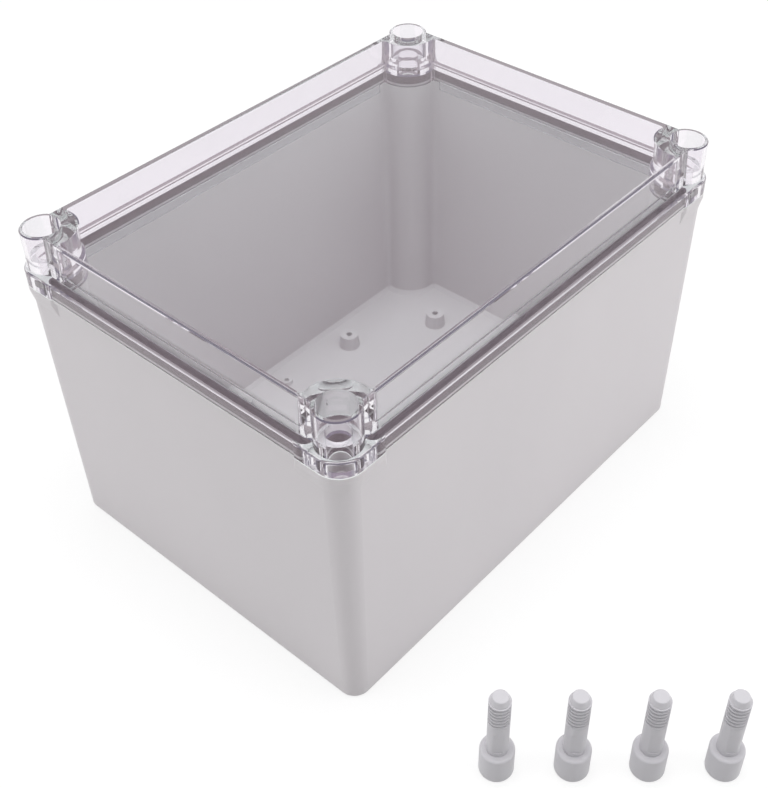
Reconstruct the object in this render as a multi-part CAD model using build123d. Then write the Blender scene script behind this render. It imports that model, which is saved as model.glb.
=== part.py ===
from build123d import *
import os
from math import atan, degrees, radians, tan

# Junction box for wall mounting: deep moulded base, clear screwed lid, seal, four loose lid screws.
# X runs along the long side, Y along the short side, Z up. The origin is the middle of the
# base's underside. All sizes are millimetres.

# Overall size, measured over the four corner pads
LENGTH = 200.0
WIDTH = 150.0
HEIGHT = 130.0
BASE_HEIGHT = 109.2

# Corners and screw axes
PAD_RADIUS = 8.8          # round corner of base and lid, centred on the screw axis
PAD_CENTRE = 11.6         # middle of the circle that bounds a corner pad, from the overall size
PAD_BOUND = 13.4          # its radius: it runs out of the sides at a slant, so the pads end softly
SIDE_INSET = 0.6          # straight sides of the lid stand back from the corner pads
SCREW_X = LENGTH / 2 - PAD_RADIUS
SCREW_Y = WIDTH / 2 - PAD_RADIUS

# Seal: one closed line round the rim that passes the screws on their inner side
SEAL_INSET = 2.9          # from the overall size to the middle of the seal
SEAL_RADIUS = 8.8         # of the middle of the seal round a screw axis
SEAL_BEND = 1.5           # where the straight runs turn into the arcs
SEAL_WIDTH = 2.4
SEAL_THICKNESS = 3.3
SEAL_CLEARANCE = 0.1      # left round the seal in its groove
TONGUE_WIDTH = 1.5
TONGUE_HEIGHT = 1.3
RIM_GAP = 0.5             # the seal keeps the lid this far above the rim

# Base
WALL_INSET = 1.0          # outer face of the wall at the rim, from the overall size
WALL = 4.0
FLOOR = 3.0
OUTER_DRAFT = 0.93
INNER_DRAFT = 0.8
COLUMN_BEND = 2.0         # where a corner column runs into the wall, at the floor
FLOOR_BEND = 1.5
BOTTOM_EDGE = 1.0
LIP_HEIGHT = 1.2          # straight lip under the lid
LIP_BLEND = 0.6
COLLAR_HEIGHT = 2.2       # straight part of the corner collar
COLLAR_BLEND = 4.4        # sloping part below it
COLUMN_WALL = 2.1         # from the middle of the seal to the inside of the base

# Bores down the corner columns
CLEARANCE_BORE_RADIUS = 4.0
CLEARANCE_BORE_DEPTH = 7.0
THREAD_BORE_RADIUS = 3.4
FIXING_HOLE_RADIUS = 2.25
FIXING_SEAT = 6.0         # thickness left under the head of a wall fixing

# Bosses on the floor for a plate or a circuit board
BOSS_RADIUS = 3.9
BOSS_FOOT_RADIUS = 4.5
BOSS_HEIGHT = 6.0
BOSS_PILOT_RADIUS = 1.3
BOSS_PILOT_DEPTH = 5.5
PLATE_BOSS_X = 72.0
PLATE_BOSS_Y = 35.0
SIDE_BOSS_X = 36.0
SIDE_BOSS_Y = 54.5
STUD_Y = 58.0
STUD_RADIUS = 2.3
STUD_FOOT_RADIUS = 2.6
STUD_HEIGHT = 1.5
STUD_PILOT_RADIUS = 1.0

# Lid
LID_BOTTOM = BASE_HEIGHT + RIM_GAP
FLANGE = 5.9
FLANGE_TOP = LID_BOTTOM + FLANGE
FLANGE_EDGE = 1.0
PANEL_INSET = 3.9         # outer face of the raised panel, from the overall size
PANEL_WALL = 2.4          # its wall at the foot
PANEL_DRAFT = 2.8         # lean of the panel's wall, in degrees
PANEL_STEP = 1.0          # the wall is this much thinner above a step on the inside
STEP_HEIGHT = 1.4         # from the flange to the step
STEP_SLOPE = 45           # of the step's face, in degrees
PANEL_TOP = 1.8
PANEL_EDGE = 0.4
TOWER_RADIUS = 7.5
TOWER_EDGE = 0.4
HEAD_BORE_RADIUS = 6.2
HEAD_BORE_DEPTH = 10.0
LOBE_RADIUS = 12.0        # inner face of the lid round a screw axis, at the foot
LOBE_BEND = 1.0
ROOM_EDGE = 0.4
RIB_DEPTH = 3.4           # locating ribs that hang inside the base
RIB_CLEARANCE = 0.3
RIB_END_GAP = 2.0         # from the bend beside a column to the end of a rib

# Lid screws, moulded in plastic
HEAD_RADIUS = 5.75
HEAD_LENGTH = 11.6
HEAD_EDGE = 0.6
SHANK_RADIUS = 3.6
SHANK_LENGTH = 14.9
THREAD_LENGTH = 10.6
TIP_FOOT_RADIUS = 3.3
TIP_RADIUS = 2.65
TIP_LENGTH = 2.4
SLOT_WIDTH = 1.8
SLOT_LENGTH = 9.0
SLOT_DEPTH = 2.5
FLAT_LENGTH = 9.6
FLAT_DEPTH = 0.45
FLAT_START = 1.9          # from the head to the flat

# The screws stand on their heads in a row in front of the box
ROW_START = (-85.4, -122.7)
ROW_ANGLE = -49.6
ROW_PITCH = 24.3
SCREW_COUNT = 4

CUT = 1.0                 # how far a cutting solid runs past the face that it opens


def screw_axes():
    return GridLocations(2 * SCREW_X, 2 * SCREW_Y, 2, 2)


def mirrored(x, y):
    return [(sx * x, sy * y) for sx in ((-1, 1) if x else (1,)) for sy in ((-1, 1) if y else (1,))]


def slab(sketch, bottom, top):
    return Pos(0, 0, bottom) * extrude(sketch, top - bottom)


def outline(inset):
    """The plan of base and lid, with round corners centred on the screw axes."""
    return RectangleRounded(LENGTH - 2 * inset, WIDTH - 2 * inset, PAD_RADIUS - inset)


def flared(inset, bottom, height, spread):
    """A slab of the plan that widens upwards by spread on each side."""
    slope = degrees(atan(spread / height))
    return Pos(0, 0, bottom) * extrude(outline(inset), height, taper=-slope)


def round_screws(inset, radius, bend):
    """A rectangle with its corners cut away round the screw axes."""
    plan = Rectangle(LENGTH - 2 * inset, WIDTH - 2 * inset)
    plan -= [place * Circle(radius) for place in screw_axes()]
    return fillet(plan.vertices(), bend)


def seal_line(reach):
    """The area inside the middle of the seal, grown by reach."""
    return offset(round_screws(SEAL_INSET, SEAL_RADIUS, SEAL_BEND), reach)


def seal_ring(width, bottom, top):
    return slab(seal_line(width / 2) - seal_line(-width / 2), bottom, top)


def at_corners(solid):
    """What lies within the reach of the corner pads."""
    middles = GridLocations(LENGTH - 2 * PAD_CENTRE, WIDTH - 2 * PAD_CENTRE, 2, 2)
    return solid & slab(Sketch() + middles * Circle(PAD_BOUND), 0, HEIGHT)


def bores(radius, bottom, top):
    return slab(Sketch() + screw_axes() * Circle(radius), bottom, top)


def make_base():
    rise = BASE_HEIGHT
    lean = rise * tan(radians(OUTER_DRAFT))
    body = flared(WALL_INSET + lean, 0, rise, lean)
    body = chamfer(body.faces().sort_by(Axis.Z)[0].edges(), BOTTOM_EDGE)

    spread = WALL_INSET - SIDE_INSET
    lip = rise - LIP_HEIGHT
    body += flared(WALL_INSET, lip - LIP_BLEND, LIP_BLEND, spread)
    body += slab(outline(SIDE_INSET), lip, rise)

    collar = rise - COLLAR_HEIGHT
    collars = flared(WALL_INSET, collar - COLLAR_BLEND, COLLAR_BLEND, WALL_INSET)
    collars += slab(outline(0), collar, rise)
    body += at_corners(collars)

    body -= make_cavity()
    body += seal_ring(TONGUE_WIDTH, rise, rise + TONGUE_HEIGHT)
    body += make_bosses()
    body -= bores(CLEARANCE_BORE_RADIUS, rise - CLEARANCE_BORE_DEPTH, rise + CUT)
    body -= bores(THREAD_BORE_RADIUS, FIXING_SEAT, rise)
    body -= bores(FIXING_HOLE_RADIUS, -CUT, rise)
    return body


def make_cavity():
    """The inside of the base, wider at the rim than at the floor."""
    depth = BASE_HEIGHT - FLOOR
    lean = depth * tan(radians(INNER_DRAFT))
    inset = WALL_INSET + WALL + lean
    column = SEAL_RADIUS + COLUMN_WALL + lean
    foot = round_screws(inset, column, COLUMN_BEND)
    room = Pos(0, 0, FLOOR) * extrude(foot, depth, taper=-INNER_DRAFT)
    room = chamfer(room.faces().sort_by(Axis.Z)[0].edges(), FLOOR_BEND)
    return room + slab(seal_line(-COLUMN_WALL), BASE_HEIGHT, BASE_HEIGHT + CUT)


def make_boss(foot, head, height, pilot, depth):
    boss = Pos(0, 0, height / 2) * Cone(foot, head, height)
    return boss - Pos(0, 0, height - depth / 2 + CUT / 2) * Cylinder(pilot, depth + CUT)


def make_bosses():
    tall = make_boss(BOSS_FOOT_RADIUS, BOSS_RADIUS, BOSS_HEIGHT, BOSS_PILOT_RADIUS, BOSS_PILOT_DEPTH)
    low = make_boss(STUD_FOOT_RADIUS, STUD_RADIUS, STUD_HEIGHT, STUD_PILOT_RADIUS, STUD_HEIGHT)
    spots = mirrored(PLATE_BOSS_X, PLATE_BOSS_Y) + mirrored(SIDE_BOSS_X, SIDE_BOSS_Y)
    bosses = [Pos(x, y, FLOOR) * tall for x, y in spots]
    return bosses + [Pos(x, y, FLOOR) * low for x, y in mirrored(0, STUD_Y)]


def make_gasket():
    bottom = BASE_HEIGHT + TONGUE_HEIGHT
    return seal_ring(SEAL_WIDTH, bottom, bottom + SEAL_THICKNESS)


def make_flange():
    """The plate of the lid that lies on the rim, with its four corner pads."""
    sides = slab(outline(SIDE_INSET), LID_BOTTOM, FLANGE_TOP)
    sides = fillet(sides.faces().sort_by(Axis.Z)[-1].edges(), FLANGE_EDGE)
    pads = slab(outline(0), LID_BOTTOM, FLANGE_TOP)
    pads = fillet(pads.faces().sort_by(Axis.Z)[-1].edges(), FLANGE_EDGE)
    return sides + at_corners(pads)


def make_panel():
    """The raised middle of the lid and the four screw towers."""
    foot = FLANGE_TOP - FLANGE_EDGE
    plan = Rectangle(LENGTH - 2 * PANEL_INSET, WIDTH - 2 * PANEL_INSET)
    panel = Pos(0, 0, foot) * extrude(plan, HEIGHT - foot, taper=PANEL_DRAFT)
    panel = fillet(panel.faces().sort_by(Axis.Z)[-1].edges(), PANEL_EDGE)
    tower = slab(Circle(TOWER_RADIUS), foot, HEIGHT)
    tower = chamfer(tower.faces().sort_by(Axis.Z)[-1].edges(), TOWER_EDGE)
    return panel + [place * tower for place in screw_axes()]


def make_ribs():
    """Straight ribs under the lid that keep it in place on the base."""
    outer = WALL_INSET + WALL + RIB_CLEARANCE
    inner = PANEL_INSET + PANEL_WALL
    end = SEAL_RADIUS + COLUMN_WALL + COLUMN_BEND + RIB_END_GAP
    frame = Rectangle(LENGTH - 2 * outer, WIDTH - 2 * outer)
    frame -= Rectangle(LENGTH - 2 * inner, WIDTH - 2 * inner)
    along = Rectangle(LENGTH, 2 * (SCREW_Y - end)) + Rectangle(2 * (SCREW_X - end), WIDTH)
    return slab(frame & along, LID_BOTTOM - RIB_DEPTH, LID_BOTTOM)


def make_room():
    """The inside of the lid, wider above the step."""
    foot = round_screws(PANEL_INSET + PANEL_WALL, LOBE_RADIUS, LOBE_BEND)
    wide = offset(foot, PANEL_STEP)
    step = FLANGE_TOP + STEP_HEIGHT
    slope = Pos(0, 0, step) * extrude(foot, PANEL_STEP, taper=-STEP_SLOPE)
    upper = Pos(0, 0, step + PANEL_STEP) * extrude(wide, HEIGHT - LID_BOTTOM, taper=PANEL_DRAFT)
    room = slab(foot, LID_BOTTOM, step) + slope + upper
    room &= slab(outline(0), LID_BOTTOM, HEIGHT - PANEL_TOP)
    return chamfer(room.faces().sort_by(Axis.Z)[-1].edges(), ROOM_EDGE)


def make_lid():
    groove_top = BASE_HEIGHT + TONGUE_HEIGHT + SEAL_THICKNESS + SEAL_CLEARANCE
    body = make_flange() + make_panel() - make_room() + make_ribs()
    body -= seal_ring(SEAL_WIDTH + 2 * SEAL_CLEARANCE, LID_BOTTOM, groove_top)
    body -= bores(HEAD_BORE_RADIUS, HEIGHT - HEAD_BORE_DEPTH, HEIGHT + CUT)
    return body - bores(CLEARANCE_BORE_RADIUS, LID_BOTTOM - CUT, HEIGHT)


def make_screw():
    """A lid screw standing on its head, its flat facing -Y."""
    shank_top = HEAD_LENGTH + SHANK_LENGTH + THREAD_LENGTH
    head = chamfer(slab(Circle(HEAD_RADIUS), 0, HEAD_LENGTH).edges().filter_by(GeomType.CIRCLE), HEAD_EDGE)
    shank = slab(Circle(SHANK_RADIUS), HEAD_LENGTH - HEAD_EDGE, shank_top)
    tip = Pos(0, 0, shank_top + TIP_LENGTH / 2) * Cone(TIP_FOOT_RADIUS, TIP_RADIUS, TIP_LENGTH)
    slot = slab(Rectangle(SLOT_LENGTH, SLOT_WIDTH), -CUT, SLOT_DEPTH)
    flat_bottom = HEAD_LENGTH + FLAT_START
    flat = slab(Rectangle(2 * SHANK_RADIUS, 2 * FLAT_DEPTH), flat_bottom, flat_bottom + FLAT_LENGTH)
    return head + shank + tip - slot - Pos(0, -SHANK_RADIUS, 0) * flat


def screw_places():
    start = Pos(*ROW_START, 0) * Rot(0, 0, ROW_ANGLE)
    return [start * Pos(i * ROW_PITCH, 0, 0) for i in range(SCREW_COUNT)]


def write(name, solid, red, green, blue):
    solid.color = Color(red, green, blue)
    export_step(solid, os.path.join("parts", name + ".step"))


def main():
    os.makedirs("parts", exist_ok=True)
    write("base", make_base(), 0.75, 0.74, 0.73)
    write("lid", make_lid(), 0.9, 0.88, 0.92)
    write("gasket", make_gasket(), 0.2, 0.19, 0.19)
    screw = make_screw()
    for number, place in enumerate(screw_places(), start=1):
        write("lid_screw_%d" % number, place * screw, 0.7, 0.7, 0.71)


main()
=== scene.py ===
import math

import bmesh
import bpy
from mathutils import Matrix, Vector


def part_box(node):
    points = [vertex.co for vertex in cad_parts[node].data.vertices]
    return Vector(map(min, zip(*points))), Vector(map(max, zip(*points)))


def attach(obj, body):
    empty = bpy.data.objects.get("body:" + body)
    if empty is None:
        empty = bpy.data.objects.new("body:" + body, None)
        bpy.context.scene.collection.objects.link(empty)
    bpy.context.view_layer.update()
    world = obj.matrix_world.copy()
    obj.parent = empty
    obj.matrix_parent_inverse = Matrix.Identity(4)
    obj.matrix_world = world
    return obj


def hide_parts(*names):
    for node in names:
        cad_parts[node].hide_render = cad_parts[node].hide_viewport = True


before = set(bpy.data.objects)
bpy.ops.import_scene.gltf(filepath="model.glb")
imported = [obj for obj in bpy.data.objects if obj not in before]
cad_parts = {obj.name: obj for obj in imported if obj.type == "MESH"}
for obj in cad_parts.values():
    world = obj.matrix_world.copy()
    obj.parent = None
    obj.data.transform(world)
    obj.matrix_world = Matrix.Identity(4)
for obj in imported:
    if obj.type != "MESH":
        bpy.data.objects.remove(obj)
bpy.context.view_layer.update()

# Lengths are metres unless a heading says otherwise, and angles are degrees.
MM = 0.001

# Camera, as fitted to the photograph. Pixels are those of the 768 by 788 frame.
IMAGE_WIDTH, IMAGE_HEIGHT = 768, 788
CAMERA_AZIMUTH = -49.106
CAMERA_ELEVATION = 41.077
CAMERA_ROLL = -0.475
CAMERA_DISTANCE = 0.4666
CAMERA_TARGET = (0.00044, -0.01644, 0.055)
CLIP_START = 0.01
FOCAL_PIXELS = 1243.2
OPTICAL_CENTRE = (417.9, 365.6)
SENSOR_WIDTH = 36.0

# Colours, linear
WHITE = (1, 1, 1, 1)
HOUSING = (0.602, 0.574, 0.592, 1)
HOUSING_SHADE = (0.574, 0.548, 0.566, 1)
SCREW_GREY = (0.50, 0.49, 0.515, 1)
SCREW_SHADE = (0.47, 0.46, 0.487, 1)
SEAL = (0.072, 0.056, 0.064, 1)
SEAL_SHADE = (0.1, 0.081, 0.09, 1)
LID_TINT = (0.935, 0.905, 0.942, 1)
LID_SHEEN = (1.0, 0.76, 0.88, 1)
LAMP_TINT = (0.945, 0.982, 0.965, 1)  # of the lamps' light, each time it passes a face of the lid

# Painted glow: light that a ray shows, instead of black, once it has bounced in the lid for long. It is
# painted lighter below the top of the flange and darker and bluer above it.
PAINTED_GLOW_LOW = (0.33, 0.3, 0.32, 1)
PAINTED_GLOW_TOP = (0.15, 0.142, 0.19, 1)
PAINTED_GLOW_HEIGHTS = (0.115, 0.1175)        # it turns from low to top here, at the top of the flange
LONG_PATH = 5.5                       # bounces

# Grain of the moulded plastics: roughness, noise cells to a metre, depth
HOUSING_GRAIN = (0.46, 2200, 0.00003)
SCREW_GRAIN = (0.42, 2600, 0.00002)
ROUGHNESS_SPREAD = 0.04

# Lid screws, in millimetres
HEAD_RADIUS = 5.75
HEAD_LENGTH = 11.6
HEAD_EDGE = 0.9
SHANK_RADIUS = 3.6
SHANK_LENGTH = 14.9
THREAD_LENGTH = 10.6
THREAD_PITCH = 1.62
THREAD_DEPTH = 0.78
GROOVE_MOUTH = 0.68                   # width of the groove, as a share of the pitch
GROOVE_FLANK = 0.12                   # width of each of its slopes, likewise
TIP_FOOT_RADIUS = 3.3
TIP_RADIUS = 2.65
TIP_LENGTH = 2.4
TIP_EDGE = 0.4
TIP_LEAN = 10                         # of the tip's side where its round edge starts
SLOT_LENGTH, SLOT_WIDTH, SLOT_DEPTH = 9.0, 1.8, 2.5
FLAT_LENGTH, FLAT_DEPTH, FLAT_START = 9.6, 0.45, 1.9
OVERCUT = 1.0                         # cutters reach this far out of what they cut

# Steps round the screw, in a rounded edge and in one turn of the thread
ROUND_STEPS = 96
EDGE_STEPS = 5
THREAD_STEPS = 16
SHARP_ANGLE = 35

# Floor
FLOOR_RADIUS = 4.0
FLOOR_STEPS = 96
FLOOR_BOUNCE = (0.62, 0.62, 0.62, 1)  # what it sends back to the box
FLOOR_SHADE = (0.18, 0.18, 0.18, 1)   # the part of the floor on show that takes the shadow
FLOOR_GLOW = (0.79, 0.94)             # the rest of it, near the box and far off
FLOOR_FADE = (0.3, 1.8)               # distances from the middle between which that changes

# Room light
BACKGROUND = 0.97                     # on show behind the floor
ROOM_LIGHT = (0.355, 0.925)           # level with the floor and overhead
DARK_SIDE = (-0.755, -0.656, 0.0)     # it is darker in this direction
DARK_REACH = (0.3, 1.0)               # cosines from that direction where this starts and ends

# Lamps: name, azimuth, elevation, distance, width and height, watts
LAMPS = [
    ("left_panel", -115, 25, 1.0, 0.9, 3.4),
    ("right_panel", 25, 25, 1.0, 0.9, 4.55),
    ("top_panel", -75, 87, 1.1, 0.6, 6.7),
]
LAMP_TARGET = (0, 0, 0.06)


class Nodes:
    """A new node tree with short ways to add nodes and links."""

    def __init__(self, owner):
        owner.use_nodes = True
        self.tree = owner.node_tree
        self.tree.nodes.clear()

    def add(self, kind, inputs=None, **settings):
        node = self.tree.nodes.new(kind)
        for name, value in settings.items():
            setattr(node, name, value)
        for name, value in (inputs or {}).items():
            socket = node.inputs[name]
            if isinstance(value, bpy.types.NodeSocket):
                self.tree.links.new(value, socket)
            else:
                socket.default_value = value
        return node

    def calculate(self, operation, first, second):
        return self.add("ShaderNodeMath", {0: first, 1: second}, operation=operation).outputs[0]

    def place(self, kind="Object"):
        return self.add("ShaderNodeTexCoord").outputs[kind]

    def height(self, place):
        return self.add("ShaderNodeSeparateXYZ", {"Vector": place}).outputs["Z"]

    def noise(self, scale, detail, stretch=(1, 1, 1)):
        mapped = self.add("ShaderNodeMapping", {"Vector": self.place(), "Scale": stretch})
        return self.add("ShaderNodeTexNoise", {
            "Vector": mapped.outputs["Vector"], "Scale": scale, "Detail": detail}).outputs["Fac"]

    def ramp(self, value, source=(0, 1), target=(0, 1)):
        """A value that runs over target while the given one runs over source."""
        return self.add("ShaderNodeMapRange", {
            "Value": value, "From Min": source[0], "From Max": source[1],
            "To Min": target[0], "To Max": target[1]}).outputs["Result"]

    def colours(self, value, source, first, second):
        """A colour that runs from the first to the second while the value runs over source."""
        mix = self.add("ShaderNodeMix", data_type="RGBA")
        factor, first_colour, second_colour = (mix.inputs[i] for i in (0, 6, 7))
        self.tree.links.new(self.ramp(value, source), factor)
        first_colour.default_value = first
        second_colour.default_value = second
        return mix.outputs[2]

    def any_ray(self, path, *kinds):
        """1 for a ray of one of these kinds, or else 0."""
        found = path.outputs[kinds[0]]
        for kind in kinds[1:]:
            found = self.calculate("MAXIMUM", found, path.outputs[kind])
        return found

    def either(self, factor, first, second):
        """The first shader where the factor is 0 and the second where it is 1."""
        return self.add("ShaderNodeMixShader", {
            0: factor, 1: first.outputs[0], 2: second.outputs[0]})

    def finish(self, kind, shader):
        self.add(kind, {"Surface": shader.outputs[0]})


def moulded_plastic(name, colour, shade, roughness, grain_scale, grain_depth):
    """Satin moulded plastic: faint flow marks in the colour, a fine eroded grain in the surface."""
    material = bpy.data.materials.new(name)
    nodes = Nodes(material)
    flow = nodes.noise(scale=14, detail=3.0, stretch=(1, 1, 0.35))
    grain = nodes.noise(scale=grain_scale, detail=2.0)
    wave = nodes.noise(scale=25, detail=1.0)
    rough = nodes.ramp(flow, target=(roughness - ROUGHNESS_SPREAD, roughness + ROUGHNESS_SPREAD))
    fine = nodes.add("ShaderNodeBump", {"Height": grain, "Strength": 0.35, "Distance": grain_depth})
    bump = nodes.add("ShaderNodeBump", {
        "Height": wave, "Strength": 0.15, "Distance": 0.0004, "Normal": fine.outputs["Normal"]})
    shader = nodes.add("ShaderNodeBsdfPrincipled", {
        "Base Color": nodes.colours(flow, (0.3, 0.7), shade, colour), "Roughness": rough,
        "IOR": 1.52, "Normal": bump.outputs["Normal"]})
    nodes.finish("ShaderNodeOutputMaterial", shader)
    return material


def foamed_seal():
    """Dark foam with fine cells."""
    material = bpy.data.materials.new("foamed_seal")
    nodes = Nodes(material)
    cells = nodes.noise(scale=1800, detail=3.0)
    bump = nodes.add("ShaderNodeBump", {"Height": cells, "Strength": 0.6, "Distance": 0.0001})
    shader = nodes.add("ShaderNodeBsdfPrincipled", {
        "Base Color": nodes.colours(cells, (0.35, 0.65), SEAL, SEAL_SHADE), "Roughness": 0.75,
        "Specular IOR Level": 0.1, "Normal": bump.outputs["Normal"]})
    nodes.finish("ShaderNodeOutputMaterial", shader)
    return material


def clear_polycarbonate():
    """Polished clear plastic. Lamps shine through it, so that the inside of the box is lit. A ray that
    has bounced in it for long shows a painted glow instead of black.
    """
    material = bpy.data.materials.new("clear_polycarbonate")
    nodes = Nodes(material)
    wave = nodes.noise(scale=30, detail=1.0)
    bump = nodes.add("ShaderNodeBump", {"Height": wave, "Strength": 0.08, "Distance": 0.0004})
    clear = nodes.add("ShaderNodeBsdfPrincipled", {
        "Base Color": LID_TINT, "Roughness": 0.02, "IOR": 1.585, "Transmission Weight": 1.0,
        "Specular Tint": LID_SHEEN, "Normal": bump.outputs["Normal"]})
    # painted glow: emission, lighter below the top of the flange and darker and bluer above it, shown by
    # rays that bounced long in the lid
    painted_glow_colour = nodes.colours(nodes.height(nodes.place()), PAINTED_GLOW_HEIGHTS, PAINTED_GLOW_LOW, PAINTED_GLOW_TOP)
    painted_glow = nodes.add("ShaderNodeEmission", {"Color": painted_glow_colour, "Strength": 1.0})
    through = nodes.add("ShaderNodeBsdfTransparent", {"Color": LAMP_TINT})
    path = nodes.add("ShaderNodeLightPath")
    long_path = nodes.calculate("GREATER_THAN", path.outputs["Ray Depth"], LONG_PATH)
    lamp_ray = nodes.any_ray(path, "Is Shadow Ray", "Is Diffuse Ray")
    shader = nodes.either(lamp_ray, nodes.either(long_path, clear, painted_glow), through)
    nodes.finish("ShaderNodeOutputMaterial", shader)
    return material


def to_object(mesh, name):
    data = bpy.data.meshes.new(name)
    mesh.to_mesh(data)
    mesh.free()
    piece = bpy.data.objects.new(name, data)
    bpy.context.collection.objects.link(piece)
    return piece


def give(piece, material):
    piece.data.materials.clear()
    piece.data.materials.append(material)


def arc(centre_r, centre_z, radius, start, end):
    """Points of a rounded edge in the (radius, height) plane."""
    points = []
    for i in range(EDGE_STEPS + 1):
        angle = math.radians(start + (end - start) * i / EDGE_STEPS)
        points.append((centre_r + radius * math.cos(angle), centre_z + radius * math.sin(angle)))
    return points


def screw_profile():
    """Rows of radius, height up the screw and how deep the thread is cut there, from 0 to 1."""
    thread_start = HEAD_LENGTH + SHANK_LENGTH
    thread_end = thread_start + THREAD_LENGTH
    top = thread_end + TIP_LENGTH
    head = arc(HEAD_RADIUS - HEAD_EDGE, HEAD_EDGE, HEAD_EDGE, -90, 0)
    head += arc(HEAD_RADIUS - HEAD_EDGE, HEAD_LENGTH - HEAD_EDGE, HEAD_EDGE, 0, 90)
    head.append((SHANK_RADIUS, HEAD_LENGTH))
    count = round(THREAD_LENGTH / THREAD_PITCH * THREAD_STEPS)
    runout = THREAD_PITCH / 2
    thread = []
    for i in range(count + 1):
        z = thread_start + THREAD_LENGTH * i / count
        thread.append((SHANK_RADIUS, z, min(1.0, (z - thread_start) / runout, (thread_end - z) / runout)))
    tip = [(TIP_FOOT_RADIUS, thread_end)]
    tip += arc(TIP_RADIUS - TIP_EDGE, top - TIP_EDGE, TIP_EDGE, TIP_LEAN, 90)
    return [(r, z, 0.0) for r, z in head] + thread + [(r, z, 0.0) for r, z in tip]


def groove(height, angle):
    """How deep the flat-bottomed groove of a right-hand thread is here, from 0 to 1."""
    turn = (height / THREAD_PITCH - angle / (2 * math.pi)) % 1.0
    return min(1.0, max(0.0, (GROOVE_MOUTH / 2 - abs(turn - 0.5)) / GROOVE_FLANK))


def screw_body(name):
    mesh = bmesh.new()
    rings = []
    for radius, height, cut in screw_profile():
        ring = []
        for i in range(ROUND_STEPS):
            angle = 2 * math.pi * i / ROUND_STEPS
            r = radius - THREAD_DEPTH * cut * groove(height, angle)
            ring.append(mesh.verts.new((r * math.cos(angle) * MM, r * math.sin(angle) * MM, height * MM)))
        rings.append(ring)
    for lower, upper in zip(rings, rings[1:]):
        for i in range(ROUND_STEPS):
            j = (i + 1) % ROUND_STEPS
            mesh.faces.new((lower[i], lower[j], upper[j], upper[i]))
    mesh.faces.new(reversed(rings[0]))
    mesh.faces.new(rings[-1])
    return to_object(mesh, name)


def block(name, low, high):
    """A plain box between two corners, in millimetres, that cuts a slot or a flat."""
    mesh = bmesh.new()
    bmesh.ops.create_cube(mesh, size=1.0)
    low, high = Vector(low) * MM, Vector(high) * MM
    for vert in mesh.verts:
        vert.co = Vector([low[k] + (vert.co[k] + 0.5) * (high[k] - low[k]) for k in range(3)])
    return to_object(mesh, name)


def carve(piece, cutter):
    cut = piece.modifiers.new("cut", "BOOLEAN")
    cut.operation = "DIFFERENCE"
    cut.solver = "EXACT"
    cut.object = cutter
    bpy.context.view_layer.objects.active = piece
    with bpy.context.temp_override(object=piece, active_object=piece, selected_objects=[piece]):
        bpy.ops.object.modifier_apply(modifier=cut.name)
    bpy.data.objects.remove(cutter)


def threaded_screw():
    """One lid screw standing on its head, its flat facing -Y."""
    piece = screw_body("screw_form")
    carve(piece, block("slot", (-SLOT_LENGTH / 2, -SLOT_WIDTH / 2, -OVERCUT),
                       (SLOT_LENGTH / 2, SLOT_WIDTH / 2, SLOT_DEPTH)))
    start = HEAD_LENGTH + FLAT_START
    face = SHANK_RADIUS - FLAT_DEPTH
    carve(piece, block("flat", (-SHANK_RADIUS, -SHANK_RADIUS - OVERCUT, start),
                       (SHANK_RADIUS, -face, start + FLAT_LENGTH)))
    piece.data.shade_smooth()
    piece.data.set_sharp_from_angle(angle=math.radians(SHARP_ANGLE))
    return piece


def middle(node):
    low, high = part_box(node)
    return (Vector(low) + Vector(high)) / 2


def make_screws():
    """A threaded screw in the place of each plain one, its flat facing square out of their row."""
    material = moulded_plastic("screw_plastic", SCREW_GREY, SCREW_SHADE, *SCREW_GRAIN)
    form = threaded_screw()
    names = sorted(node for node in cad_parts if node.startswith("lid_screw"))
    row = middle(names[-1]) - middle(names[0])
    facing = math.atan2(row.y, row.x)
    for name in names:
        place = middle(name)
        data = form.data.copy()
        data.transform(Matrix.Translation((place.x, place.y, 0)) @ Matrix.Rotation(facing, 4, "Z"))
        piece = bpy.data.objects.new(name.replace("lid", "threaded"), data)
        bpy.context.collection.objects.link(piece)
        give(piece, material)
        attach(piece, "box")
        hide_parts(name)
    bpy.data.objects.remove(form)


def dress_box():
    plastic = moulded_plastic("housing_plastic", HOUSING, HOUSING_SHADE, *HOUSING_GRAIN)
    give(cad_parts["base"], plastic)
    give(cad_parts["lid"], clear_polycarbonate())
    give(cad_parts["gasket"], foamed_seal())


def make_floor():
    """White on show, with the box's shadow, and a plain pale floor to the light."""
    material = bpy.data.materials.new("floor_white")
    nodes = Nodes(material)
    reach = nodes.add("ShaderNodeVectorMath", {0: nodes.place()}, operation="LENGTH").outputs["Value"]
    glow = nodes.add("ShaderNodeEmission", {
        "Color": WHITE, "Strength": nodes.ramp(reach, FLOOR_FADE, FLOOR_GLOW)})
    shade = nodes.add("ShaderNodeBsdfDiffuse", {"Color": FLOOR_SHADE})
    shown = nodes.add("ShaderNodeAddShader", {0: shade.outputs[0], 1: glow.outputs[0]})
    bounce = nodes.add("ShaderNodeBsdfDiffuse", {"Color": FLOOR_BOUNCE})
    path = nodes.add("ShaderNodeLightPath")
    seen = nodes.any_ray(path, "Is Camera Ray", "Is Transmission Ray", "Is Glossy Ray")
    nodes.finish("ShaderNodeOutputMaterial", nodes.either(seen, bounce, shown))
    mesh = bmesh.new()
    bmesh.ops.create_circle(mesh, cap_ends=True, segments=FLOOR_STEPS, radius=FLOOR_RADIUS)
    floor = to_object(mesh, "floor")
    give(floor, material)


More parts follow.
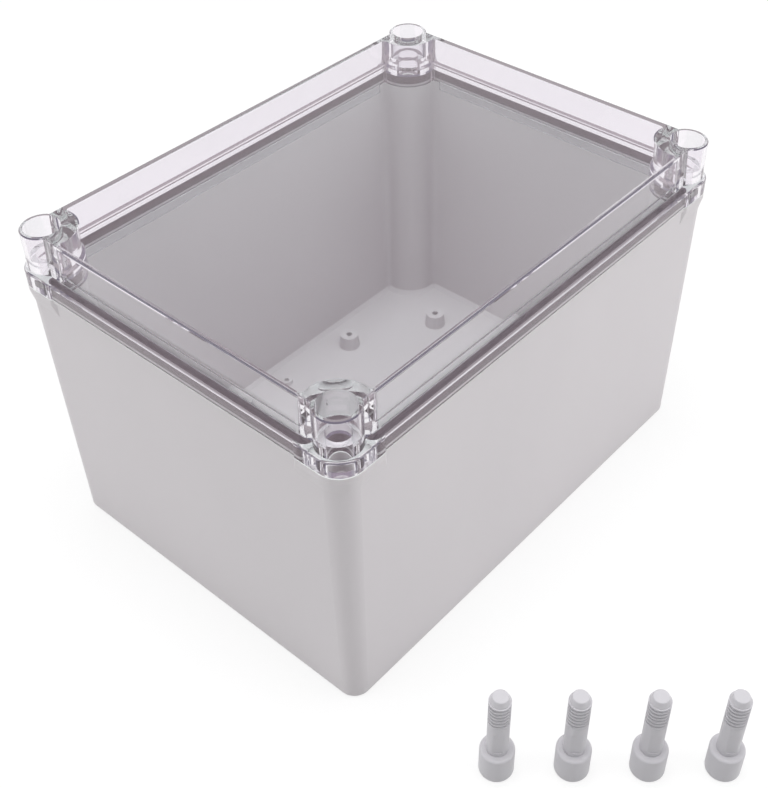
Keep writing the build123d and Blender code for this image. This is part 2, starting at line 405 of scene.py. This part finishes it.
def make_world():
    """White on show. Its light is stronger overhead and weaker from the dark side."""
    world = bpy.data.worlds.new("studio")
    bpy.context.scene.world = world
    nodes = Nodes(world)
    place = nodes.place("Generated")
    rise = nodes.ramp(nodes.height(place), target=ROOM_LIGHT)
    side = nodes.add("ShaderNodeVectorMath", {0: place, 1: DARK_SIDE}, operation="DOT_PRODUCT")
    dark = nodes.ramp(side.outputs["Value"], DARK_REACH, (1, 0))
    soft = nodes.add("ShaderNodeBackground", {
        "Color": WHITE, "Strength": nodes.calculate("MULTIPLY", rise, dark)})
    white = nodes.add("ShaderNodeBackground", {"Color": WHITE, "Strength": BACKGROUND})
    path = nodes.add("ShaderNodeLightPath")
    seen = nodes.any_ray(path, "Is Camera Ray", "Is Glossy Ray", "Is Transmission Ray")
    nodes.finish("ShaderNodeOutputWorld", nodes.either(seen, soft, white))


def outwards(azimuth, elevation):
    """A direction from the box. Azimuth 0 is in front, at -Y, and 90 on the +X side."""
    az, el = math.radians(azimuth), math.radians(elevation)
    return Vector((math.cos(el) * math.sin(az), -math.cos(el) * math.cos(az), math.sin(el)))


def looking(along):
    return along.to_track_quat("-Z", "Y").to_matrix().to_4x4()


def make_lamp(name, azimuth, elevation, distance, side, watts):
    """A soft square panel that points at the box."""
    data = bpy.data.lights.new(name, "AREA")
    data.shape = "RECTANGLE"
    data.size, data.size_y, data.energy = side, side, watts
    lamp = bpy.data.objects.new(name, data)
    place = outwards(azimuth, elevation) * distance
    lamp.matrix_world = Matrix.Translation(place) @ looking(Vector(LAMP_TARGET) - place)
    lamp.visible_glossy = False
    lamp.visible_transmission = False
    bpy.context.collection.objects.link(lamp)


def make_camera():
    data = bpy.data.cameras.new("camera")
    data.sensor_fit = "HORIZONTAL"
    data.sensor_width = SENSOR_WIDTH
    data.lens = FOCAL_PIXELS * SENSOR_WIDTH / IMAGE_WIDTH
    data.shift_x = (IMAGE_WIDTH / 2 - OPTICAL_CENTRE[0]) / IMAGE_WIDTH
    data.shift_y = (OPTICAL_CENTRE[1] - IMAGE_HEIGHT / 2) / IMAGE_WIDTH
    data.clip_start = CLIP_START
    camera = bpy.data.objects.new("camera", data)
    away = outwards(CAMERA_AZIMUTH, CAMERA_ELEVATION)
    place = Vector(CAMERA_TARGET) + away * CAMERA_DISTANCE
    roll = Matrix.Rotation(math.radians(CAMERA_ROLL), 4, "Z")
    camera.matrix_world = Matrix.Translation(place) @ looking(-away) @ roll
    bpy.context.collection.objects.link(camera)
    bpy.context.scene.camera = camera


make_camera()
make_world()
make_floor()
for lamp in LAMPS:
    make_lamp(*lamp)
dress_box()
make_screws()

bpy.context.scene.view_settings.view_transform = "Standard"
